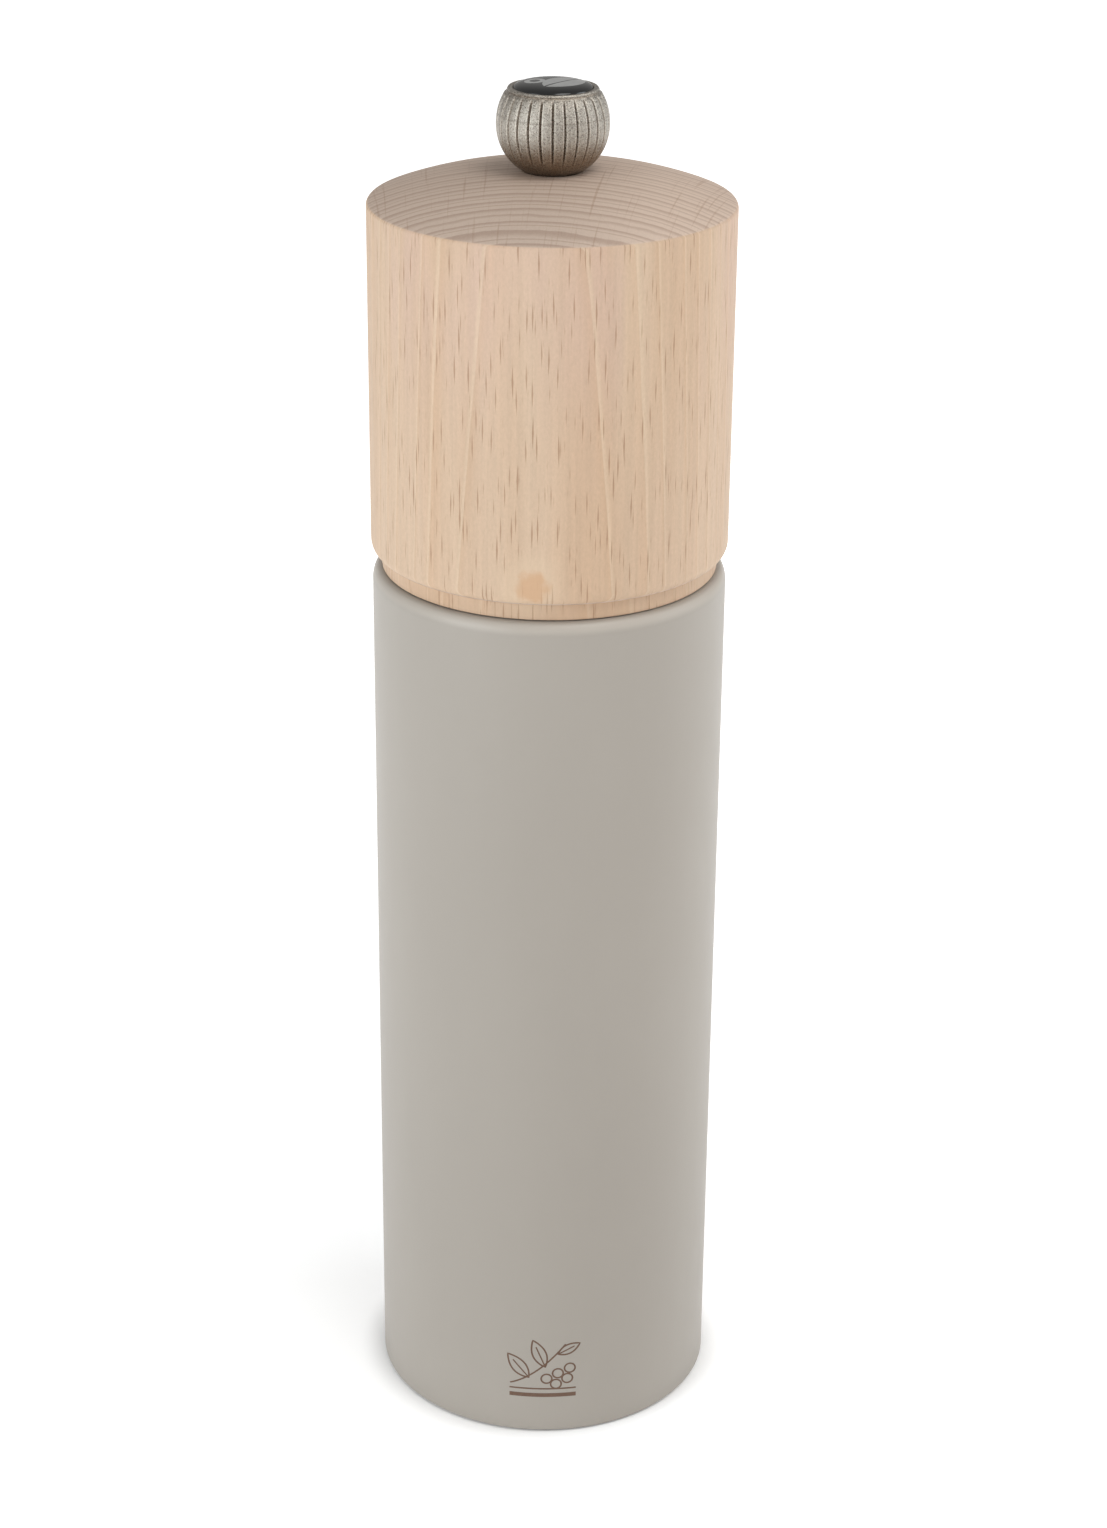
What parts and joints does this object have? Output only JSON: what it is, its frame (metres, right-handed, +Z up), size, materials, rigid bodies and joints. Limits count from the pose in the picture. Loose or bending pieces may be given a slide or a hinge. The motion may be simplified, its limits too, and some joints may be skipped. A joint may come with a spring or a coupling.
{
  "type": "pepper mill",
  "caption": "Tall cylindrical pepper mill: domed turned wood head over a matte lacquered body, fluted metal adjusting knob, conical steel grinder on a square shaft.",
  "frame": {"origin": "centre of the ring that the mill stands on", "axes": "+Z up along the mill's axis; the printed mark on the body faces -Y"},
  "size_m": [0.0532, 0.0532, 0.21],
  "materials": {
    "lacquered_wood": "matte warm grey lacquer over turned beech",
    "oiled_beech": "natural beech, fine sanded, matte",
    "aged_nickel": "cast and fluted, antique nickel plate, satin",
    "badge_black": "black gloss dome with a grey graphic",
    "insert_brass": "turned and threaded",
    "shaft_aluminium": "drawn square bar, satin",
    "burr_steel": "case-hardened, dark satin",
    "spring_steel": "drawn wire, bright",
    "zinced_steel": "stamped and zinc plated",
    "screw_steel": "zinc plated"
  },
  "bodies": {
    "body": {"body_casing": "lacquered_wood", "stator_ring": "burr_steel", "retaining_plate": "zinced_steel", "shaft_bridge": "zinced_steel", "plate_screw_1": "screw_steel", "plate_screw_2": "screw_steel", "plate_screw_3": "screw_steel"},
    "spring_core": {"upper_spring_washer": "zinced_steel", "grinder_spring": "spring_steel"},
    "spindle": {"drive_shaft": "shaft_aluminium", "rotor": "burr_steel", "spring_cup": "zinced_steel", "shaft_clip": "spring_steel"},
    "head": {"head_block": "oiled_beech", "drive_plate": "zinced_steel", "drive_plate_screw_1": "screw_steel", "drive_plate_screw_2": "screw_steel", "drive_plate_screw_3": "screw_steel"},
    "knob": {"knob_ball": "aged_nickel", "knob_insert": "insert_brass", "knob_badge": "badge_black"}
  },
  "joints": [
    {"name": "mill_turn", "type": "hinge", "parent": "body", "child": "spring_core", "pos_m": [0, 0, 0.033], "axis": [0, 0, 1], "continuous": true},
    {"name": "rotor_adjust", "type": "slide", "parent": "spring_core", "child": "spindle", "axis": [0, 0, 1], "range_m": [0, 0.0012], "deforming": ["grinder_spring"]},
    {"name": "head_lift", "type": "slide", "parent": "spring_core", "child": "head", "axis": [0, 0, 1], "range_m": [0, 0.085]},
    {"name": "knob_turn", "type": "hinge", "parent": "head", "child": "knob", "pos_m": [0, 0, 0.204], "axis": [0, 0, 1], "range_deg": [-540, 0]}
  ],
  "couplings": [
    {"joint": "knob_turn", "follows": "rotor_adjust", "rad_per_m": -7853.9}
  ]
}
